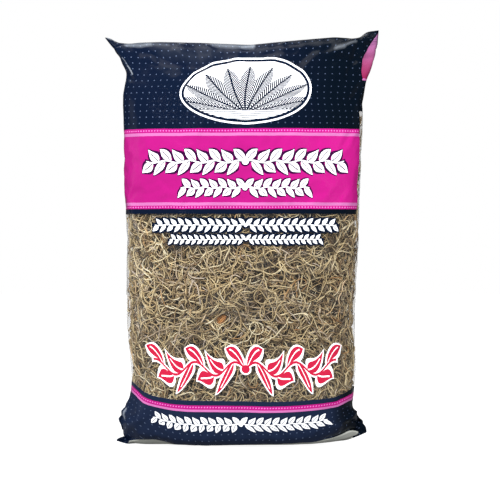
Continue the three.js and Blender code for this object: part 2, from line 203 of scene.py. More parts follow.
# Slack film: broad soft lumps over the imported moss, upright tucks under the upper seal, slanting ones
# over the base, and creases that run from the ears into the body. All are in millimetres: a lump's
# size, height and shift, and a crease's height, its start and end across and up, and its half width.
LUMPS = ((42, 1.5, (0, 0, 0)), (17, 0.55, (9, 3, 5)), (6.5, 0.13, (2, 7, 1)))
TUCK_HEIGHT, SLANT_HEIGHT = 2.6, 1.3
CREASES = (
    (1.8, (-119, 353), (-93, 320), 3), (3.6, (118, 356), (76, 341), 6), (-3.4, (112, 337), (80, 334.5), 5),
    (-2.2, (101, 348), (92, 318), 4), (2.0, (117, 352), (104, 300), 4), (-1.8, (-88, 344), (-40, 327), 7),
    (1.6, (-58, 341), (-42, 322), 6), (-1.5, (60, 344), (40, 322), 7), (1.4, (-108, 4), (-76, 40), 7),
    (-1.6, (-106, 22), (-84, 30), 5), (1.8, (-104, 30), (-99, 16), 4), (1.6, (108, 9), (80, 36), 6),
    (-2.2, (103, 19), (76, 21), 4), (2.0, (98, 28), (78, 13), 3.5))
CREASE_GIRTH, SEAL_DENT = 118, 0.15


def crease(x, z, start, end, width):
    """Share of a crease, 1 on the line from start to end and 0 a width away from it."""
    line = np.subtract(end, start)
    along = np.clip(((x - start[0]) * line[0] + (z - start[1]) * line[1]) / (line @ line), 0, 1)
    away = np.hypot(x - start[0] - along * line[0], z - start[1] - along * line[1])
    return np.clip(1 - away / width, 0, 1) * np.clip(1.25 - along, 0, 1)


flat = skin.reshape(-1, 3)
x, z = flat[:, 0], flat[:, 2]
is_front = np.broadcast_to(front_layer, (ROWS, FILM_COLUMNS + 1)).reshape(-1)
is_seal = (np.arange(ROWS) >= SEAL_START).repeat(FILM_COLUMNS + 1)
is_base = (np.arange(ROWS) < BASE_ROWS).repeat(FILM_COLUMNS + 1)
girth = np.tile(np.linspace(-1, 1, FILM_COLUMNS + 1) * HALF_GIRTH / MM, ROWS)
around = np.abs(girth)
lumps = sum(np.array([noise.noise(Vector(p) / size + Vector(shift)) for p in flat]) * height
            for size, height, shift in LUMPS)
tucks = np.array([noise.noise(Vector((g / 13, h / 60, 4.0 if f else 9.0)))
                  for g, h, f in zip(girth, z, is_front)])
slants = np.array([noise.noise(Vector((g / 15 + h / 22, h / 30, 14.0))) for g, h in zip(around, z)])
near_top = smooth_share(z, 306, 338) * (1 - 0.55 * smooth_share(z, 343, BODY_TOP)) * ~is_seal
near_base = (1 - smooth_share(z, 6, 42)) * ~is_base
out = lumps * (1 - 0.75 * smooth_share(z, 325, 346)) * (1 - 0.8 * is_base) * ~is_seal
out += TUCK_HEIGHT * tucks * near_top + SLANT_HEIGHT * slants * near_base
folds = sum(height * crease(x, z, start, end, width) for height, start, end, width in CREASES)
out += is_front * folds * (around < CREASE_GIRTH)
out = np.where(is_seal, np.maximum(out, -SEAL_DENT), out)
out = out.reshape(ROWS, -1)
out[:, -1] = out[:, 0]

# Where the film is pinched flat into the ears it turns back along a sharp line: the line's two ends,
# how steeply the film turns back past it, and how far past it that goes on.
PINCHES = (((97, 37), (64, 4), 0.42, 17), ((-88, 4), (-94, 47), 0.34, 12), ((-94, 321), (-119, 355), 0.9, 4))
for start, end, slope, most in PINCHES:
    line = np.subtract(end, start) / np.hypot(*np.subtract(end, start))
    past = (x - start[0]) * line[1] * -1 + (z - start[1]) * line[0]
    low, high = min(start[1], end[1]), max(start[1], end[1])
    level = smooth_share(z, low - 8, low) * (1 - smooth_share(z, high, high + 9))
    push = np.clip(past, 0, most) * slope * level * is_front * ~is_base
    flat[:, 1] += np.minimum(push, np.maximum(0, (6 - flat[:, 1]) * 0.7))

# The lumps and creases stand out square to the film. The film ends in one line at both seals.
LEAST_HEIGHT = 0.25
along_girth = np.roll(skin[:, :-1], -1, axis=1) - np.roll(skin[:, :-1], 1, axis=1)
along_girth = np.concatenate([along_girth, along_girth[:, :1]], axis=1)
facing_out = np.cross(along_girth, np.gradient(skin, axis=0))
facing_out /= np.maximum(np.linalg.norm(facing_out, axis=2, keepdims=True), 1e-9)
skin += facing_out * out[:, :, None]
skin[:, :, 2] = np.maximum(skin[:, :, 2], LEAST_HEIGHT)
other_layer = (FILM_COLUMNS // 2 - columns) % FILM_COLUMNS
for row in (0, -1):
    skin[row] = (skin[row] + skin[row, other_layer]) / 2
skin[:, -1] = skin[:, 0]
skin *= MM


def grid_piece(name, points):
    """A new piece made of a grid of faces through rows of points, which are in metres."""
    bpy.ops.object.select_all(action="DESELECT")
    rows, columns, _ = points.shape
    bpy.ops.mesh.primitive_grid_add(x_subdivisions=columns - 1, y_subdivisions=rows - 1, size=1)
    piece = bpy.context.object
    piece.name = name
    piece.data.vertices.foreach_set("co", points.astype(np.float32).ravel())
    return piece


def face_corners(piece):
    """The point that each corner of a piece's faces lies on."""
    corners = np.zeros(len(piece.data.loops), np.int32)
    piece.data.loops.foreach_get("vertex_index", corners)
    return corners


def set_print(piece, corner_places):
    """Writes where in the print each face corner lies: across and up from its middle's foot, in metres."""
    print_map = piece.data.uv_layers.active
    print_map.name = "print"
    print_map.data.foreach_set("uv", corner_places.astype(np.float32).ravel())


def weld(reach, turn_out):
    """Merges the doubled points of the piece in hand, and on a closed piece turns its faces outwards."""
    bpy.ops.object.mode_set(mode="EDIT")
    bpy.ops.mesh.select_all(action="SELECT")
    bpy.ops.mesh.remove_doubles(threshold=reach)
    if turn_out:
        bpy.ops.mesh.normals_make_consistent(inside=False)
    bpy.ops.object.mode_set(mode="OBJECT")


film_web = grid_piece("film_web", skin)

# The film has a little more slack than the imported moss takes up, and it settles into fine wrinkles
# while its seals, its base and its back seam are held. No point moves further than WRINKLE_MOST.
WRINKLE_FRAMES, WRINKLE_MOST = 12, 0.0016
SLACK_FILM = {"quality": 4, "mass": 0.002, "tension_stiffness": 15, "compression_stiffness": 15,
              "shear_stiffness": 7.5, "bending_stiffness": 0.02, "air_damping": 1.0, "shrink_min": -0.004}
row_of, column_of = np.divmod(np.arange(ROWS * (FILM_COLUMNS + 1)), FILM_COLUMNS + 1)
held = (row_of <= BASE_ROWS) | (row_of >= SEAL_START - 1)
held |= np.minimum(column_of, FILM_COLUMNS - column_of) < 2
film_web.vertex_groups.new(name="held").add(np.flatnonzero(held).tolist(), 1.0, "REPLACE")
slack = film_web.modifiers.new("slack", "CLOTH")
for setting, value in SLACK_FILM.items():
    setattr(slack.settings, setting, value)
slack.settings.vertex_group_mass = "held"
slack.settings.effector_weights.gravity = 0
slack.point_cache.frame_start, slack.point_cache.frame_end = 1, WRINKLE_FRAMES
for step in range(1, WRINKLE_FRAMES + 1):
    bpy.context.scene.frame_set(step)
settled = np.zeros(skin.size, np.float32)
settled_mesh = film_web.evaluated_get(bpy.context.evaluated_depsgraph_get()).data
settled_mesh.vertices.foreach_get("co", settled)
film_web.modifiers.remove(slack)
film_web.vertex_groups.clear()
bpy.context.scene.frame_set(1)
moved = settled.reshape(skin.shape) - skin
far = np.linalg.norm(moved, axis=2, keepdims=True)
skin += moved * np.minimum(1, WRINKLE_MOST / np.maximum(far, 1e-9))
skin[:, :, 2] = np.maximum(skin[:, :, 2], LEAST_HEIGHT * MM)
film_web.data.vertices.foreach_set("co", skin.astype(np.float32).ravel())

# How far round the film the print's right edge is drawn, at heights up towards the right ear.
TO_EAR = np.array([(0.300, 0), (0.318, 0.0070), (0.325, 0.0042), (0.332, 0.0039), (0.339, 0.0045),
                   (0.346, 0.0075), (0.353, 0.0115), (0.360, 0.0155)])
FILM_WELD = 0.000002
girth_place = np.tile(np.linspace(-HALF_GIRTH, HALF_GIRTH, FILM_COLUMNS + 1), ROWS)
to_ear = np.interp(skin[:, :, 2].ravel(), TO_EAR[:, 0], TO_EAR[:, 1])
to_ear = to_ear * smooth_share(girth_place, 0.055, HALF_GIRTH / 2)
to_ear = to_ear * (1 - smooth_share(girth_place, HALF_GIRTH / 2, 0.2))
film_places = np.stack([girth_place - to_ear, print_height.ravel() * MM], axis=1)
set_print(film_web, film_places[face_corners(film_web)])
weld(FILM_WELD, turn_out=False)
bpy.ops.object.shade_smooth()


# The inks: navy over most of the front, a magenta band with pale lines, dots, and white leaf work.
def colour(red, green, blue):
    """A colour given in 0 to 255, as the linear light that materials use."""
    return tuple(((c / 255 + 0.055) / 1.055) ** 2.4 if c > 10 else c / 255 / 12.92
                 for c in (red, green, blue)) + (1,)


class Measure:
    """A number or colour that changes over a surface: an output of a node in a material or a group.

    Sums, comparisons, & (both of two masks) and | (either of them) add Math nodes to its tree."""

    def __init__(self, tree, socket):
        self.tree, self.socket = tree, socket

    def __add__(self, other):
        return calc("ADD", self, other)

    def __sub__(self, other):
        return calc("SUBTRACT", self, other)

    def __rsub__(self, other):
        return calc("SUBTRACT", other, self)

    def __mul__(self, other):
        return calc("MULTIPLY", self, other)

    def __truediv__(self, other):
        return calc("DIVIDE", self, other)

    def __lt__(self, other):
        return calc("LESS_THAN", self, other)

    def __gt__(self, other):
        return calc("GREATER_THAN", self, other)

    def __or__(self, other):
        return calc("MAXIMUM", self, other)

    def __abs__(self):
        return calc("ABSOLUTE", self)

    __radd__, __rmul__, __and__ = __add__, __mul__, __mul__


def supply(socket, value):
    """Links a measure to a socket, or sets the socket to a plain number or colour."""
    if isinstance(value, Measure):
        value.tree.links.new(value.socket, socket)
    else:
        socket.default_value = value


def calc(operation, *values):
    """Adds a Math node for some numbers and measures, and gives its result."""
    tree = next(value.tree for value in values if isinstance(value, Measure))
    node = tree.nodes.new("ShaderNodeMath")
    node.operation = operation
    for socket, value in zip(node.inputs, values):
        supply(socket, value)
    return Measure(tree, node.outputs[0])


def clamp(value, top=1.0):
    return calc("MINIMUM", calc("MAXIMUM", value, 0.0), top)


def distance(across, up):
    return calc("SQRT", across * across + up * up)


def within(value, low, high):
    """1 where a value lies between two bounds."""
    return (value > low) & (value < high)


def either(first, *masks):
    """1 where any of some masks is 1."""
    for mask in masks:
        first = first | mask
    return first


def paint(under, over, mask):
    """Lays one colour over another through a mask."""
    node = mask.tree.nodes.new("ShaderNodeMix")
    node.data_type = "RGBA"
    under_socket, over_socket = (socket for socket in node.inputs if socket.type == "RGBA")
    supply(under_socket, under)
    supply(over_socket, over)
    supply(node.inputs["Factor"], mask)
    return Measure(mask.tree, next(socket for socket in node.outputs if socket.type == "RGBA"))


def new_group(name, inputs, **outputs):
    """A node group with number inputs, as measures by name, and its output sockets."""
    tree = bpy.data.node_groups.new(name, "ShaderNodeTree")
    for label in inputs:
        tree.interface.new_socket(label, in_out="INPUT", socket_type="NodeSocketFloat")
    for label, kind in outputs.items():
        tree.interface.new_socket(label, in_out="OUTPUT", socket_type=kind)
    first, last = tree.nodes.new("NodeGroupInput"), tree.nodes.new("NodeGroupOutput")
    return tree, [Measure(tree, first.outputs[label]) for label in inputs], last.inputs


def use_group(group, *values):
    """Places a group among its values' nodes, and gives its outputs."""
    tree = next(value.tree for value in values if isinstance(value, Measure))
    node = tree.nodes.new("ShaderNodeGroup")
    node.node_tree = group
    for socket, value in zip(node.inputs, values):
        supply(socket, value)
    return [Measure(tree, socket) for socket in node.outputs]


# A square grid of round dots.
dot_grid, given, result = new_group(
    "dot_grid", ["Across", "Up", "Pitch", "Row", "Radius"], Dots="NodeSocketFloat")
across, up, pitch, row_pitch, radius = given
dot_x, dot_y = calc("PINGPONG", across, pitch * 0.5), calc("PINGPONG", up, row_pitch * 0.5)
supply(result["Dots"], distance(dot_x, dot_y) < radius)

# A soft streak from one place to another, full on its line and gone a half width away: the shape of a painted
# highlight.
highlight_streak, given, result = new_group(
    "highlight_streak", ["Across", "Up", "Ax", "Ay", "Bx", "By", "Half"], Mark="NodeSocketFloat")
across, up, start_x, start_y, end_x, end_y, half_width = given
run_x, run_y = end_x - start_x, end_y - start_y
off_x, off_y = across - start_x, up - start_y
run_share = clamp((run_x * off_x + run_y * off_y) / (run_x * run_x + run_y * run_y))
away = distance(off_x - run_share * run_x, off_y - run_share * run_y)
supply(result["Mark"], calc("MAXIMUM", 1.0 - away / half_width, 0.0))

# A garland of two sprigs that meet in the middle: a wavy stem with leaves on either side of it in
# turn, each with a bare midrib, and a berry between the sprigs. Grow widens it all, for an outline.
LEAF_TILT = 0.82
garland, given, result = new_group(
    "garland", ["Across", "Up", "Pitch", "Wave", "Long", "Wide", "Stem", "Leaves", "Grow"],
    Mask="NodeSocketFloat")
across, up, pitch, wave, long, wide, stem, leaves, grow = given
outward = abs(across)
off_stem = up - wave * calc("SINE", math.pi * (outward / pitch))
half_long = long * 0.5
leafy = (abs(off_stem) < stem * 0.5 + grow) & (outward < (leaves + 0.1) * pitch + grow)
for side, shift in ((1.0, 0.0), (-1.0, 0.5)):
    shifted = (outward - pitch * shift) / pitch
    cell = calc("FLOOR", shifted)
    leaf_x = (shifted - cell - 0.5) * pitch
    leaf_up = off_stem * side - half_long * (1.04 * math.sin(LEAF_TILT))
    leaf_along = leaf_x * math.cos(LEAF_TILT) + leaf_up * math.sin(LEAF_TILT)
    leaf_across = abs(leaf_up * math.cos(LEAF_TILT) - leaf_x * math.sin(LEAF_TILT))
    leaf_share = leaf_along / (half_long + grow)
    leaf_half = (wide * 0.5 + grow * 1.6) * ((1.0 - leaf_share * leaf_share) * (1.0 - leaf_share * 0.35))
    midrib = (leaf_across < wide * 0.055 - grow) & (leaf_share < 0.55)
    blade = (leaf_across < leaf_half) & (abs(leaf_share) < 1.0) & (1.0 - midrib)
    leafy = leafy | (blade & (cell + shift < leaves - 0.2) & (cell > -0.5))
supply(result["Mask"], leafy | (distance(outward, up) < wide * 0.42 + grow))

# Some of these colours are painted light: the darker navy and dimmer dots are painted shade, the brighter
# magenta is painted against shade, the pale back pink is a painted reflection, the pale grey film is the
# floor's painted reflection on the underside, and the pale grey-blue is painted highlight on the folds.
NAVY, LOW_NAVY, SHADED_NAVY = colour(8, 18, 37), colour(21, 31, 53), colour(4, 11, 21)
NAVY_DOT, SHADED_DOT, FOLD_HIGHLIGHT = colour(74, 86, 110), colour(54, 64, 84), colour(168, 176, 186)
MAGENTA, LIT_MAGENTA, PALE_PINK = colour(155, 20, 108), colour(166, 20, 114), colour(176, 98, 154)
BACK_PINK, BACK_SHEEN, BEAD_PINK = colour(132, 26, 70), colour(134, 92, 134), colour(205, 104, 174)
PLUM, RED_INK, WHITE_INK = colour(48, 6, 50), colour(172, 28, 58), colour(236, 238, 242)
FLOOR_REFLECTION, BARE_FILM = colour(160, 162, 156), (1.0, 1.0, 1.0, 1.0)

# The bands and lines, in metres round the film from its front's middle, and up it.
inks, given, result = new_group(
    "printed_inks", ["Across", "Up"], Colour="NodeSocketColor", Cover="NodeSocketFloat")
across, up = given
WINDOW_LOW, WINDOW_HIGH, BACK_PANEL_LOW = 0.0402, 0.2003, 0.3185
front_print = within(across, -0.1215, 0.1035)
magenta_band, low_magenta = within(up, 0.2044, 0.2734), within(up, 0.0320, 0.0361)
pale_lines = either(*[within(up, low, high) for low, high in (
    (0.2671, 0.2697), (0.2073, 0.2100), (0.0304, 0.0324))])
beads = either(*[use_group(dot_grid, across, up - level, 0.0025, 1.0, 0.00062)[0]
                 for level in (0.27155, 0.20590, 0.03440)])
below_seal = (up < 0.3420) | within(across, 0.1, 0.135)
back_panel = (up > BACK_PANEL_LOW) & (1.0 - front_print) & below_seal
back_line = within(up, 0.3168, BACK_PANEL_LOW) & (1.0 - front_print)
# The base's underside, which is painted pale as a reflection of the floor.
underside = (up < -0.030) & within(across, -0.114, 0.1172)
side_patch = within(across, 0.1, 0.1185) & within(up, 0.2890, 0.3170)

# The medallion: a white line, a navy ring, and a white field with a fan of engraved fern leaves.
MEDALLION_UP = 0.3075
FAN_FOOT, GROUND_LINE = MEDALLION_UP - 0.0205, MEDALLION_UP - 0.0175
FAN_STEP, FAN_SQUEEZE = math.pi / 10, 0.62
FROND_LONG, FROND_HALF, BARB_PITCH, HATCH_PITCH = 0.042, 0.0098, 0.00085, 0.0008
from_middle = across - 0.0021
in_medallion, in_navy_ring, in_field = (
    distance(from_middle / half_across, (up - MEDALLION_UP) / half_up) < 1.0
    for half_across, half_up in ((0.0585, 0.0305), (0.0569, 0.0289), (0.0546, 0.0266)))
fan_across, fan_up = from_middle * FAN_SQUEEZE, up - FAN_FOOT
fan_far = distance(fan_across, fan_up)
fan_turn = calc("ARCTAN2", fan_across, fan_up)
fan_off = calc("PINGPONG", fan_turn + math.pi * 2, FAN_STEP / 2) * fan_far
frond_share = fan_far / FROND_LONG
frond_half = FROND_HALF * (frond_share * (1.0 - calc("POWER", frond_share, 3.0)))
barbs = (calc("PINGPONG", fan_far - fan_off * 1.4, BARB_PITCH) > 0.00024) | (fan_off < 0.00045)
fronds = (fan_off < frond_half) & (frond_share < 1.0) & barbs & (up > GROUND_LINE)
ground = (up < GROUND_LINE) & (calc("PINGPONG", up, HATCH_PITCH) < 0.00034)
engraving = in_field & (fronds | ground)

# The garlands: the height of each one's middle, its pitch and wave, its leaves' length and width, its
# stem's width, and how many pairs of leaves each sprig has.
LARGE_LEAVES = (0.2450, 0.0103, 0.0010, 0.0142, 0.0068, 0.0011, 8)
SMALL_LEAVES = (0.2225, 0.0076, 0.0007, 0.0104, 0.0050, 0.0009, 7)
WINDOW_LEAVES = (0.1905, 0.0064, 0.0004, 0.0078, 0.0034, 0.0007, 12)
THIN_LEAVES = (0.1782, 0.0049, 0.0003, 0.0057, 0.0026, 0.0006, 13)
RED_VINE = (0.0675, 0.0172, 0.0058, 0.0212, 0.0084, 0.0022, 4.5)
BASE_LEAVES = (0.0187, 0.0069, 0.0005, 0.0094, 0.0045, 0.0009, 11)


def leaf_work(sizes, grow=0.0):
    """A garland of given sizes, or its outline, wider all round by grow."""
    return use_group(garland, from_middle, up - sizes[0], *sizes[1:], grow)[0]


magenta_edges = leaf_work(LARGE_LEAVES, 0.0013) | leaf_work(SMALL_LEAVES, 0.0010)
white_leaves = either(*[leaf_work(sizes) for sizes in (LARGE_LEAVES, SMALL_LEAVES, BASE_LEAVES)])
window_edges = leaf_work(WINDOW_LEAVES, 0.0015) | leaf_work(THIN_LEAVES, 0.0013)
window_leaves = leaf_work(WINDOW_LEAVES) | leaf_work(THIN_LEAVES)
red_vine, red_vine_edge = leaf_work(RED_VINE), leaf_work(RED_VINE, 0.0014)

on_navy = (up > 0.2742) | within(up, -0.0270, 0.0296)
clear_of_leaves = (abs(up - BASE_LEAVES[0]) > 0.0072) | (abs(from_middle) > 0.079)
small_dots = use_group(dot_grid, across, up + 0.0016, 0.00597, 0.00538, 0.00052)[0]
small_dots = on_navy & clear_of_leaves & small_dots

# Painted highlights and reflections on the film, along its sharpest folds and in a faint broad patch
# below the top fold: each mark's two ends, half width and strength.
HIGHLIGHT_MARKS = (
    (-0.1154, 0.3378, -0.1122, 0.3294, 0.0006, 0.26), (-0.1122, 0.3294, -0.1064, 0.3215, 0.0007, 0.50),
    (-0.1160, 0.3620, -0.1105, 0.3622, 0.0030, 0.60), (-0.1080, 0.3490, -0.0860, 0.3484, 0.0024, 0.30),
    (-0.0860, 0.3484, -0.0700, 0.3480, 0.0022, 0.09), (-0.0300, 0.3492, 0.0060, 0.3482, 0.0030, 0.26),
    (-0.0040, 0.3480, 0.0070, 0.3492, 0.0022, 0.42), (-0.0760, 0.3430, -0.0500, 0.3370, 0.0095, 0.02),
    (-0.0500, 0.3370, -0.0280, 0.3420, 0.0085, 0.02), (0.0785, 0.3405, 0.0835, 0.3418, 0.0026, 0.22),
    (0.0825, 0.3414, 0.0905, 0.3464, 0.0018, 0.16), (-0.1100, 0.0115, -0.1092, 0.0010, 0.0022, 0.48))
painted_highlights = either(*[use_group(highlight_streak, across, up, *mark)[0] * strength
                        for *mark, strength in HIGHLIGHT_MARKS])

# Painted shade: the navy and its dots darken towards the right of the upper panel and round the right
# corner below it, and the magenta is painted lighter towards the right, against the shade there.
from_side = clamp(across, 0.08) * 12.5
at_corner = clamp((across - 0.080) * 70.0) * clamp((0.175 - across) * 18.0)
upper_panel = up > 0.12
painted_shade = paint(at_corner, from_side, upper_panel)
# The back panel is painted paler towards its top: a painted reflection.
back_sheen = back_panel * ((up - BACK_PANEL_LOW) * 24.0)
navy_ground = paint(paint(LOW_NAVY, NAVY, upper_panel), SHADED_NAVY, painted_shade)
ink = paint(navy_ground, paint(NAVY_DOT, SHADED_DOT, painted_shade), small_dots)
for over, mask in (
        (paint(MAGENTA, LIT_MAGENTA, from_side), magenta_band | low_magenta), (BACK_PINK, back_panel),
        (BACK_SHEEN, calc("MINIMUM", back_sheen, 0.85)), (PALE_PINK, pale_lines | back_line),
        (BEAD_PINK, beads), (FLOOR_REFLECTION, underside), (PLUM, magenta_band & magenta_edges),
        (WHITE_INK, white_leaves), (NAVY, window_edges), (WHITE_INK, window_leaves | red_vine_edge),
        (RED_INK, red_vine), (WHITE_INK, in_medallion), (NAVY, in_navy_ring), (WHITE_INK, in_field),
        (NAVY, engraving), (FOLD_HIGHLIGHT, painted_highlights)):
    ink = paint(ink, over, mask)
window = front_print & within(up, WINDOW_LOW, WINDOW_HIGH)
supply(result["Colour"], ink)
supply(result["Cover"], either(
    up < WINDOW_LOW, back_panel, back_line, side_patch, front_print & (1.0 - window),
    window & (window_edges | red_vine_edge)))


def new_material(name):
    """A material, its node tree and its shader."""
    material = bpy.data.materials.new(name)
    material.use_nodes = True
    return material, material.node_tree, material.node_tree.nodes["Principled BSDF"]


def speckle(tree, scale, detail, rough=0.5):
    """Noise through a piece, placed by its own coordinates."""
    place = tree.nodes.new("ShaderNodeTexCoord")
    node = tree.nodes.new("ShaderNodeTexNoise")
    for name, value in (("Scale", scale), ("Detail", detail), ("Roughness", rough)):
        node.inputs[name].default_value = value
    tree.links.new(place.outputs["Object"], node.inputs["Vector"])
    return Measure(tree, node.outputs["Fac"])


def relief(shader, height, reach):
    """Bumps on a shader's surface, reach metres high for a height of 1. Gives their normal."""
    node = height.tree.nodes.new("ShaderNodeBump")
    node.inputs["Strength"].default_value = 1.0
    node.inputs["Distance"].default_value = reach
    supply(node.inputs["Height"], height)
    normal = Measure(height.tree, node.outputs["Normal"])
    supply(shader.inputs["Normal"], normal)
    return normal


# Glossy film: opaque where it is printed, and elsewhere clear, with only its gloss showing. The upper
# seal is crimped in fine ribs.
SEAL_LOW, RIB_PITCH, RIB_HEIGHT = 0.3515, 0.0007, 900.0
printed_film, tree, shader = new_material("printed_film")
print_place = tree.nodes.new("ShaderNodeUVMap")
print_place.uv_map = "print"
place_parts = tree.nodes.new("ShaderNodeSeparateXYZ")
tree.links.new(print_place.outputs["UV"], place_parts.inputs[0])
print_across, print_up = (Measure(tree, place_parts.outputs[k]) for k in (0, 1))
ink_colour, cover = use_group(inks, print_across, print_up)
supply(shader.inputs["Base Color"], paint(BARE_FILM, ink_colour, cover))
shader.inputs["Specular IOR Level"].default_value = 0.11
supply(shader.inputs["Metallic"], (1.0 - cover) * 0.85)
supply(shader.inputs["Roughness"], 0.1 + cover * 0.16)
gloss = tree.nodes.new("ShaderNodeFresnel")
gloss.inputs["IOR"].default_value = 1.5
sheen = 0.036 + Measure(tree, gloss.outputs[0]) * 0.46
supply(shader.inputs["Alpha"], calc("MAXIMUM", cover, sheen))
ribs = calc("PINGPONG", print_up, RIB_PITCH) & (print_up > SEAL_LOW)
supply(gloss.inputs["Normal"], relief(shader, speckle(tree, 75.0, 2.0, 0.35) + ribs * RIB_HEIGHT, 0.0005))

film_web.data.materials.append(printed_film)
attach(film_web, "root")
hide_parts("film_bag")

# ---------------------------------------------------------------------------- base_seal
# The lower heat seal: both layers of the film, welded and crimped into a flat strip. It is folded
# back under the base, which stands on it, and its two ends twist upright as the lower ears.
SEAL_PLACES = np.concatenate([np.linspace(-109, -96, 22)[:-1], np.linspace(-96, 86, 60)[:-1],
                              np.linspace(86, 108.4, 34)])
STRIP_WIDTHS = np.array([(-109, 1.2), (-107, 3.0), (-102, 6.4), (-96, 12), (88, 13), (98, 13), (104, 11.5),
                         (107.6, 5.0), (108.4, 1.4)])
SEAL_ACROSS, END_TWIST, END_FORWARD, HALF_STRIP = 13, math.radians(84), 3.2, 0.18
twist = np.where(SEAL_PLACES < 0, smooth_share(-SEAL_PLACES, 92, 103), smooth_share(SEAL_PLACES, 84, 101))
twist = twist * END_TWIST
upright, level = np.sin(twist)[:, None], np.cos(twist)[:, None]
strip_wide = np.interp(SEAL_PLACES, STRIP_WIDTHS[:, 0], STRIP_WIDTHS[:, 1])
strip_low = along_bag(SEAL_LINE, SEAL_PLACES) - np.where(SEAL_PLACES > 0, 0.5, 0.9) * np.sin(twist)
strip_share = np.linspace(0, 1, SEAL_ACROSS)
crumple = np.array([[noise.noise(Vector((p / 5, s * 2.2, 3.0))) for s in strip_share] for p in SEAL_PLACES])
crumple = crumple * 1.5 * upright
reach_back = strip_share * strip_wide[:, None]
strip_x = np.repeat(SEAL_PLACES[:, None], SEAL_ACROSS, 1) + 0.3 * crumple
layers = []
for side in (-HALF_STRIP, HALF_STRIP):
    strip_y = reach_back * level - side * upright + crumple - END_FORWARD * upright
    strip_z = strip_low[:, None] + 0.45 + reach_back * upright + side * level
    layers.append(np.stack([strip_x, strip_y, strip_z], axis=-1))
rings = np.concatenate([layers[0], layers[1][:, ::-1], layers[0][:, :1]], axis=1)
for row in (0, -1):
    rings[row] = rings[row].mean(axis=0)
base_seal = grid_piece("base_seal", rings * MM)

# Its ends carry the same print and ribs as the upper seal, drawn in a little across. The part between
# FLAT_LEFT and FLAT_RIGHT, which lies under the base, is painted pale as a reflection of the floor.
SEAL_PRINT_LOW, SEAL_PRINT_TALL, DRAWN_IN, FLAT_LEFT, FLAT_RIGHT = 0.3518, 0.0128, 0.94, -91, 96
strip_up = np.concatenate([strip_share, strip_share[::-1], strip_share[:1]]) * SEAL_PRINT_TALL
strip_places = np.broadcast_arrays(SEAL_PLACES[:, None] * DRAWN_IN * MM, SEAL_PRINT_LOW + strip_up[None])
corner_places = np.stack(strip_places, axis=-1).reshape(-1, 2)[face_corners(base_seal)]
strip_step = np.arange(len(corner_places)) // 4 // (rings.shape[1] - 1)
flat_part = (SEAL_PLACES[strip_step + 1] > FLAT_LEFT) & (SEAL_PLACES[strip_step] < FLAT_RIGHT)
corner_places[flat_part, 1] = UNDERSIDE_PRINT * MM
set_print(base_seal, corner_places)
weld(FILM_WELD, turn_out=True)
bpy.ops.object.shade_smooth_by_angle(angle=math.radians(50))
base_seal.data.materials.append(printed_film)
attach(base_seal, "root")
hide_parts("film_bag")

# ---------------------------------------------------------------------------- back_lap
# The web's two long edges overlap down the middle of the back, where they are heat-sealed into a lap
# that stands a little proud of the film.
ROW_HEIGHTS = BODY_HEIGHTS * MM
SPINE_HALF, SPINE_LOW, SPINE_HIGH = 0.062, 0.030, 0.298
body_skin = skin[BASE_ROWS:SEAL_START]


def under_film(share, height, depth):
    """Points at a depth under the film, for shares of its girth from the back's middle and for heights."""
    column = np.mod(share, 1.0) * FILM_COLUMNS
    c0 = np.minimum(column.astype(int), FILM_COLUMNS - 1)
    fc = (column - c0)[..., None]
    row = np.interp(height, ROW_HEIGHTS, np.arange(BODY_ROWS))
    r0 = np.minimum(row.astype(int), BODY_ROWS - 2)
    fr = (row - r0)[..., None]
    at = ((body_skin[r0, c0] * (1 - fc) + body_skin[r0, c0 + 1] * fc) * (1 - fr)
          + (body_skin[r0 + 1, c0] * (1 - fc) + body_skin[r0 + 1, c0 + 1] * fc) * fr)
    spine = np.stack([np.clip(at[..., 0], -SPINE_HALF, SPINE_HALF),
                      0.004 * smooth_share(at[..., 2], 0.27, 0.33),
                      np.clip(at[..., 2], SPINE_LOW, SPINE_HIGH)], axis=-1)
    inward = spine - at
    inward /= np.linalg.norm(inward, axis=-1, keepdims=True)
    return at + inward * depth[..., None], -inward


# The lap's section: shares of the girth from the back's middle, and depths in millimetres.
LAP_SECTION = np.array([(-0.0225, 0.05), (-0.0225, -0.42), (-0.020, -0.55), (-0.014, -0.52), (-0.008, -0.52),
                        (-0.002, -0.55), (0.0004, -0.42), (0.0004, 0.05), (-0.0225, 0.05)])
LAP_ROWS, LAP_LOW, LAP_HIGH = 150, 0.030, 0.322
lap_share, lap_height = np.meshgrid(LAP_SECTION[:, 0], np.linspace(LAP_LOW, LAP_HIGH, LAP_ROWS + 1))
lap_points, _ = under_film(lap_share, lap_height, np.broadcast_to(LAP_SECTION[:, 1] * MM, lap_share.shape))
for row in (0, -1):
    lap_points[row] = lap_points[row].mean(axis=0)
back_lap = grid_piece("back_lap", lap_points)
lap_places = np.stack([HALF_GIRTH + lap_share * HALF_GIRTH * 2, lap_height], axis=-1).reshape(-1, 2)
set_print(back_lap, lap_places[face_corners(back_lap)])
weld(FILM_WELD, turn_out=True)
bpy.ops.object.shade_smooth_by_angle(angle=math.radians(50))
back_lap.data.materials.append(printed_film)
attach(back_lap, "root")
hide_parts("film_bag")

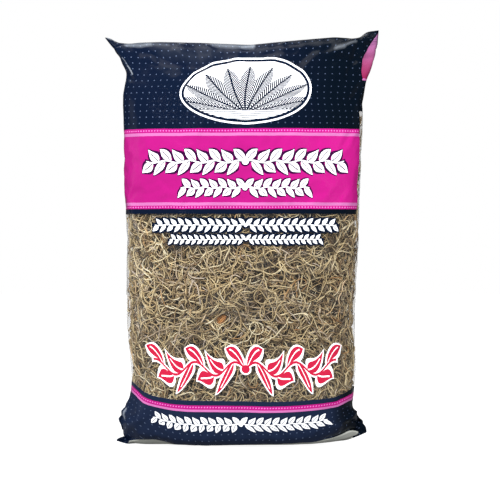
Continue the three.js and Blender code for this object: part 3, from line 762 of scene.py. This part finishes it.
# ---------------------------------------------------------------------------- moss_core
# The inner strands of the moss, packed into a dense mat that the loose outer strands cover. It is
# coloured darker than the strands: painted shade for the depths of the moss.
CORE_COLUMNS, CORE_ROWS, CORE_WELD = 120, 96, 0.00001
CORE_DEPTH, CORE_ROUGHNESS, CORE_LOW, CORE_HIGH = 0.0122, 0.0022, 0.004, 0.322
core_share, core_height = np.meshgrid(np.linspace(0, 1, CORE_COLUMNS + 1),
                                      np.linspace(CORE_LOW, CORE_HIGH, CORE_ROWS + 1))
core_share[:, -1] = 0.0
surface, _ = under_film(core_share, core_height, np.full(core_share.shape, CORE_DEPTH))
rough = np.array([noise.noise(Vector(p) / 0.011) + 0.6 * noise.noise(Vector(p) / 0.0045)
                  for p in surface.reshape(-1, 3)]).reshape(core_share.shape)
core_points, _ = under_film(core_share, core_height, CORE_DEPTH + CORE_ROUGHNESS * (rough + 0.4))
for row, pole_height in ((0, 0.014), (-1, 0.300)):
    core_points[row] = (0, 0.002, pole_height)
moss_core = grid_piece("moss_core", core_points)
weld(CORE_WELD, turn_out=False)
bpy.ops.object.shade_smooth()


def store(mesh, name, values):
    """Keeps a number on each point of a mesh, for its material."""
    mesh.attributes.new(name, "FLOAT", "POINT").data.foreach_set("value", np.asarray(values, np.float32))


def stored(tree, name):
    node = tree.nodes.new("ShaderNodeAttribute")
    node.attribute_name = name
    return Measure(tree, node.outputs["Fac"])


def ramp(level, tones):
    """The colours of a scale, for levels from 0 to 1."""
    node = level.tree.nodes.new("ShaderNodeValToRGB")
    for at, shade in tones[1:-1]:
        node.color_ramp.elements.new(at).color = shade
    for k in (0, -1):
        node.color_ramp.elements[k].position, node.color_ramp.elements[k].color = tones[k]
    supply(node.inputs["Fac"], level)
    return Measure(level.tree, node.outputs["Color"])


RUSTY_FIBRE, GREY_FIBRE = colour(190, 127, 61), colour(178, 164, 158)


def fibre_material(name, tones, mottle_scale):
    """Dry plant fibre: dull, mottled along its length, paler where a strand's own tone is higher, and
    rusty or greyish where its own warmth is high or low."""
    material, tree, shader = new_material(name)
    shader.inputs["Roughness"].default_value = 0.75
    shader.inputs["Specular IOR Level"].default_value = 0.3
    mottle = speckle(tree, mottle_scale, 4.0)
    level = stored(tree, "tone") + (mottle - 0.5) * 0.6
    warmth = stored(tree, "warmth")
    rusty, greyed = (warmth > 0.955) * 0.34, (warmth < 0.16) * (level * 0.75)
    shade = paint(ramp(level, tones), RUSTY_FIBRE, rusty)
    supply(shader.inputs["Base Color"], paint(shade, GREY_FIBRE, greyed))
    relief(shader, mottle, 0.0004)
    return material


moss_core.data.materials.append(fibre_material(
    "shaded_moss_mat", [(0.0, colour(34, 27, 22)), (0.5, colour(74, 62, 48)), (1.0, colour(116, 98, 74))], 420.0))
for attribute, value in (("tone", 0.35), ("warmth", 0.5)):
    store(moss_core.data, attribute, [value] * len(moss_core.data.vertices))
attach(moss_core, "root")
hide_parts("moss_bunch")

# ---------------------------------------------------------------------------- moss_strands
# Dried moss strands, thin and curly, pressed loosely against the inside of the film.
# They lie over and under each other, and most of them dive into the mat at one end.
STRAND_PIECES = 4
MOSS_LOW, MOSS_HIGH, HANK_SIZE = 0.004, 0.324, 0.010
fleck_low, fleck_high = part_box("bark_fleck")
fleck_middle = (fleck_low + fleck_high) / 2
draw = np.random.default_rng(2024)


def scatter_starts(count):
    """Starting places, more of them where the clear film shows the moss."""
    share, height = draw.random(count * 6), 0.006 + 0.316 * draw.random(count * 6)
    from_front_middle = (share - 0.5) * 2 * HALF_GIRTH
    in_window = (np.abs(from_front_middle) < 0.135) & (height > 0.026) & (height < 0.212)
    at_back = (np.abs(from_front_middle) > 0.098) & (height > 0.026)
    chance = np.where(in_window, 1.0, np.where(at_back, 0.55, 0.06))
    keep = np.flatnonzero(draw.random(count * 6) < chance)[:count]
    return share[keep], height[keep]


def strand_lines(count, points, least, spread, shallow, deep):
    """Curly lines under the film: places, outward directions and radii, points by points.

    Neighbours run roughly the same way, in hanks, and the strands sink deeper round the hollows."""
    share, height = scatter_starts(count)
    count = len(share)
    length = least + spread * draw.random(count) ** 2
    step = length / (points - 1)
    g, h = (share - 0.5) * 2 * HALF_GIRTH / HANK_SIZE, height / HANK_SIZE
    heading = (1.9 * np.sin(g / 1.9 + 1.4 * np.sin(h / 2.4))
               + 1.7 * np.sin(h / 1.7 + 1.2 * np.sin(g / 2.9) + 1.0))
    heading = heading + draw.normal(0, 0.85, count) + math.pi * draw.integers(0, 2, count)
    curl = draw.normal(0, 75.0, count)
    wobble, phase = draw.uniform(30, 170, count), draw.random(count) * 2 * math.pi
    waves = draw.uniform(180, 520, count)
    level = shallow + (deep - shallow) * draw.random(count) ** 1.1
    hollow = np.sin(g / 1.15 + 2.0 * np.sin(h / 1.9) + 0.6) * np.sin(h / 0.95 + 1.7 * np.sin(g / 2.1))
    level = level + 0.0055 * smooth_share(hollow, 0.45, 0.8)
    sway, sway_phase = draw.uniform(0.0003, 0.0016, count), draw.random(count) * 6.3
    sway_waves = draw.uniform(90, 260, count)
    dive_start, dive_end = draw.uniform(-0.001, 0.007, count), draw.uniform(-0.002, 0.005, count)
    shares, heights, depths = [], [], []
    for k in range(points):
        t = k / (points - 1)
        shares.append(share.copy())
        heights.append(height.copy())
        depths.append(level + sway * np.sin(sway_phase + sway_waves * length * t)
                      + dive_start * (1 - t) ** 4 + dive_end * t**4)
        heading = heading + (curl + wobble * np.sin(phase + waves * length * t)) * step
        share = share + step * np.cos(heading) / (2 * HALF_GIRTH)
        height = height + step * np.sin(heading)
        turned = (height < MOSS_LOW) | (height > MOSS_HIGH)
        heading = np.where(turned, -heading, heading)
        height = np.clip(height, MOSS_LOW, MOSS_HIGH)
    thick = draw.uniform(0.00046, 0.00082, count)
    depth = np.clip(np.stack(depths, 1), 0.0004 + thick[:, None], 0.0145)
    at, outward = under_film(np.stack(shares, 1), np.stack(heights, 1), depth)
    return at, outward, thick


# The bark fleck leans to the right, and lies in a pocket that is an oval of these half sizes.
FLECK_LEAN, POCKET_LONG, POCKET_WIDE = 0.84, 0.0060, 0.0038


def keep_pocket(at, outward, thick):
    """Leaves out the strands that would cover the bark fleck."""
    x, z = at[..., 0] - fleck_middle[0], at[..., 2] - fleck_middle[2]
    lengthways = (x * math.sin(FLECK_LEAN) + z * math.cos(FLECK_LEAN)) / POCKET_LONG
    sideways = (x * math.cos(FLECK_LEAN) - z * math.sin(FLECK_LEAN)) / POCKET_WIDE
    covering = ((lengthways**2 + sideways**2 < 1) & (at[..., 1] < fleck_middle[1] + 0.0012)).any(axis=1)
    return at[~covering], outward[~covering], thick[~covering]


def strand_mesh(batches):
    """Three-sided tubes along the lines, each closed at both tips, with a tone and a warmth each."""
    points, faces, tones, warmths, first = [], [], [], [], 0
    for at, outward, thick in batches:
        count, steps = at.shape[:2]
        ahead = np.gradient(at, axis=1)
        ahead /= np.maximum(np.linalg.norm(ahead, axis=2, keepdims=True), 1e-9)
        side = np.cross(ahead, outward)
        side /= np.maximum(np.linalg.norm(side, axis=2, keepdims=True), 1e-9)
        rise = np.cross(side, ahead)
        taper = 1 - 0.55 * np.abs(np.linspace(-1, 1, steps)) ** 3
        radius = (thick[:, None] * taper)[..., None]
        rings = np.stack([at + radius * (side * math.sin(a) + rise * math.cos(a))
                          for a in (0, 2.0944, 4.1888)], axis=2)
        body = rings[:, 1:-1].reshape(count, -1, 3)
        points.append(np.concatenate([at[:, :1], body, at[:, -1:]], axis=1).reshape(-1, 3))
        per = body.shape[1] + 2
        last = 1 + 3 * (steps - 3)
        first_tip = [(0, 1 + (k + 1) % 3, 1 + k) for k in range(3)]
        walls = [(base + k, base + (k + 1) % 3, base + 3 + (k + 1) % 3, base + 3 + k)
                 for base in range(1, last, 3) for k in range(3)]
        last_tip = [(per - 1, last + k, last + (k + 1) % 3) for k in range(3)]
        starts = first + per * np.arange(count)
        for part in (first_tip, walls, last_tip):
            part = np.array(part)
            faces += (starts[:, None, None] + part[None]).reshape(-1, part.shape[1]).tolist()
        # Each strand's tone is random, and lower towards the bag's right: painted shade.
        tones.append(np.repeat(np.clip(draw.normal(0.50, 0.23, count) - 0.7 * at[:, 0, 0], 0, 1), per))
        warmths.append(np.repeat(draw.random(count), per))
        first += per * count
    return np.concatenate(points), faces, np.concatenate(tones), np.concatenate(warmths)


LAID_POINTS, LAID_RADIUS = 24, 0.00072


def laid_strand(places, lift):
    """One strand laid over the fleck's place, from points given in millimetres across and up from it."""
    places = np.array(places, float)
    walked = np.concatenate([[0], np.cumsum(np.hypot(*np.diff(places, axis=0).T))])
    even = np.linspace(0, walked[-1], LAID_POINTS)
    smooth = np.stack([np.interp(even, walked, places[:, k]) for k in (0, 1)], axis=1)
    for _ in range(3):
        smooth[1:-1] = (smooth[:-2] + 2 * smooth[1:-1] + smooth[2:]) / 4
    lifted = np.full(LAID_POINTS, fleck_middle[1] - lift * MM)
    at = np.stack([fleck_middle[0] + smooth[:, 0] * MM, lifted, fleck_middle[2] + smooth[:, 1] * MM], axis=1)
    outward = np.broadcast_to(np.array([0.0, -1.0, 0.0]), (1, LAID_POINTS, 3))
    return at[None], outward, np.array([LAID_RADIUS])


# The strand that loops round the fleck's lower end and runs away up to the right, one beside it, and
# one above it.
laid = [laid_strand([(-1.2, 9.5), (-3.0, 5.5), (-5.0, 2.0), (-5.6, -2.0), (-4.0, -5.2), (-0.8, -5.0),
                     (3.2, -2.4), (7.0, 1.4), (10.6, 6.6), (14.4, 12.0), (17.6, 17.5)], 1.7),
        laid_strand([(9.2, 4.6), (13.2, 1.6), (16.6, -1.2), (17.0, -5.0), (14.6, -9.6), (11.0, -15.0)], 1.4),
        laid_strand([(-14.0, 6.0), (-7.0, 8.4), (1.0, 11.0), (9.0, 14.6), (16.0, 20.0)], 1.2)]
strand_fibre = fibre_material("dried_moss", [
    (0.0, colour(66, 52, 39)), (0.25, colour(132, 110, 80)), (0.5, colour(184, 164, 124)),
    (0.75, colour(210, 194, 156)), (1.0, colour(220, 212, 186))], 300.0)
for piece in range(STRAND_PIECES):
    batches = [keep_pocket(*strand_lines(2500, 8, 0.010, 0.020, 0.0010, 0.0120)),
               keep_pocket(*strand_lines(400, 20, 0.030, 0.060, 0.0010, 0.0080))]
    if piece == 0:
        batches += laid
    points, faces, tones, warmths = strand_mesh(batches)
    mesh = bpy.data.meshes.new(f"moss_strands_{piece + 1}")
    mesh.from_pydata(points.tolist(), [], faces)
    store(mesh, "tone", tones)
    store(mesh, "warmth", warmths)
    mesh.polygons.foreach_set("use_smooth", [True] * len(mesh.polygons))
    strands = bpy.data.objects.new(mesh.name, mesh)
    bpy.context.scene.collection.objects.link(strands)
    mesh.materials.append(strand_fibre)
    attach(strands, "root")
    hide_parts("moss_bunch")

# ---------------------------------------------------------------------------- bark_husk
# A flake of orange-brown bark, curled like a seed husk, caught among the strands behind the film.
# Fine ridges run along it, and it is darker round its rim.
HUSK_LONG, HUSK_WIDE, HUSK_THICK, HUSK_RIDGES = 0.0112, 0.0062, 0.0024, 11
bpy.ops.object.select_all(action="DESELECT")
bpy.ops.mesh.primitive_uv_sphere_add(segments=64, ring_count=36, radius=1)
bark_husk = bpy.context.object
bark_husk.name = "bark_husk"
ball = np.zeros(len(bark_husk.data.vertices) * 3, np.float32)
bark_husk.data.vertices.foreach_get("co", ball)
ball = ball.reshape(-1, 3).astype(float)
turn, level = np.arctan2(ball[:, 1], ball[:, 0]), ball[:, 2]
ridges = np.cos(HUSK_RIDGES * turn + 2.2 * level)
plump = (1 - 0.28 * level) * (1 + 0.07 * ridges * (1 - level**2))
grain = np.array([noise.noise(Vector((math.cos(t) * 4, math.sin(t) * 4, l * 1.2)))
                  for t, l in zip(turn, level)])
husk = np.stack([ball[:, 0] * plump * HUSK_WIDE / 2, ball[:, 1] * (plump + 0.12 * grain) * HUSK_THICK / 2,
                 level * HUSK_LONG / 2], axis=1)
husk[:, 1] += 0.0011 * (ball[:, 0] ** 2 + 0.5 * level**2) - 0.0006
lean_cos, lean_sin = math.cos(FLECK_LEAN), math.sin(FLECK_LEAN)
husk = husk @ np.array([[lean_cos, 0, lean_sin], [0, 1, 0], [-lean_sin, 0, lean_cos]]).T + fleck_middle
bark_husk.data.vertices.foreach_set("co", husk.astype(np.float32).ravel())
rim = np.hypot(ball[:, 0], level)
store(bark_husk.data, "ridge", 0.5 + 0.35 * ridges - 0.5 * rim**3 + 0.6 * grain)
bpy.ops.object.shade_smooth()
bark, tree, shader = new_material("bark")
shader.inputs["Roughness"].default_value = 0.6
bark_level = stored(tree, "ridge") + (speckle(tree, 900.0, 5.0) - 0.35)
supply(shader.inputs["Base Color"], ramp(bark_level, [
    (0.0, colour(82, 52, 24)), (0.45, colour(173, 115, 57)), (1.0, colour(216, 156, 96))]))
relief(shader, bark_level, 0.0003)
bark_husk.data.materials.append(bark)
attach(bark_husk, "root")
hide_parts("bark_fleck")

# ---------------------------------------------------------------------------- stage
# A plain pale floor that meets a white backdrop, soft light from above and both sides, and a camera
# level with the bag's middle.
FLOOR_SIZE, FLOOR_LIT, FLOOR_MIRRORED = 12, 0.32, 0.26
SKY_LIT, SKY_MIRRORED = 0.55, 0.50
bpy.ops.object.select_all(action="DESELECT")
bpy.ops.mesh.primitive_plane_add(size=FLOOR_SIZE, location=(0, 0, 0))
floor = bpy.context.object
floor.name = "floor"
# The floor glows: white to the camera, a little less near the bag, and dimly to everything else, so that it
# lights the bag from below.
pale_floor, tree, shader = new_material("pale_floor")
shader.inputs["Base Color"].default_value = (0.14, 0.14, 0.14, 1)
shader.inputs["Roughness"].default_value = 0.9
shader.inputs["Emission Color"].default_value = (1, 1, 1, 1)
ray = tree.nodes.new("ShaderNodeLightPath")
place = tree.nodes.new("ShaderNodeTexCoord")
from_bag = tree.nodes.new("ShaderNodeVectorMath")
from_bag.operation = "LENGTH"
tree.links.new(place.outputs["Object"], from_bag.inputs[0])
glow = calc("MINIMUM", 0.60 + Measure(tree, from_bag.outputs["Value"]) * 0.6, 1.0)
lit = FLOOR_LIT - Measure(tree, ray.outputs["Is Glossy Ray"]) * FLOOR_MIRRORED
supply(shader.inputs["Emission Strength"], lit + Measure(tree, ray.outputs["Is Camera Ray"]) * glow)
floor.data.materials.append(pale_floor)

world = bpy.data.worlds.new("studio")
bpy.context.scene.world = world
world.use_nodes = True
sky = world.node_tree
backdrop = sky.nodes["Background"]
backdrop.inputs["Color"].default_value = (1, 1, 1, 1)
ray = sky.nodes.new("ShaderNodeLightPath")
dim = SKY_LIT - Measure(sky, ray.outputs["Is Glossy Ray"]) * SKY_MIRRORED
supply(backdrop.inputs["Strength"], calc("MAXIMUM", dim, Measure(sky, ray.outputs["Is Camera Ray"])))


def soft_light(name, place, aim, size, power, mirrored):
    """A lamp of a given size in metres and power in watts, aimed at a point."""
    lamp = bpy.data.lights.new(name, "AREA")
    lamp.shape, lamp.size, lamp.size_y, lamp.energy = "RECTANGLE", size[0], size[1], power
    lamp_object = bpy.data.objects.new(name, lamp)
    bpy.context.scene.collection.objects.link(lamp_object)
    lamp_object.location = place
    lamp_object.rotation_euler = (Vector(aim) - Vector(place)).to_track_quat("-Z", "Y").to_euler()
    lamp_object.visible_glossy = mirrored


soft_light("front_light", (-0.58, -1.7, 1.5), (0, 0, 0.17), (0.9, 0.7), 83, False)
soft_light("fill_light", (1.4, -1.5, 0.6), (0, 0, 0.17), (1.2, 1.2), 18, False)
soft_light("top_light", (-0.42, 0.25, 1.5), (0, 0, 0.3), (0.96, 1.3), 9, True)
soft_light("back_light", (-0.42, 2.0, 1.4), (0, 0, 0.35), (1.0, 1.5), 8, True)
soft_light("left_light", (-2.0, -0.35, 0.6), (0, 0, 0.17), (0.9, 1.2), 4.2, True)
soft_light("right_light", (2.0, -0.35, 0.6), (0, 0, 0.17), (0.9, 1.2), 1.0, True)

# The camera's view is VIEW_WIDTH across at the bag, and its sensor is SENSOR_WIDTH millimetres wide.
CAMERA_AWAY, VIEW_WIDTH, SENSOR_WIDTH = 1.8, 0.435, 36
camera_data = bpy.data.cameras.new("camera")
camera_data.lens = SENSOR_WIDTH * CAMERA_AWAY / VIEW_WIDTH
camera = bpy.data.objects.new("camera", camera_data)
bpy.context.scene.collection.objects.link(camera)
camera.location = (0.007, -CAMERA_AWAY, 0.1693)
camera.rotation_euler = (math.radians(90), 0, 0)
bpy.context.scene.camera = camera
bpy.context.scene.view_settings.view_transform = "Standard"
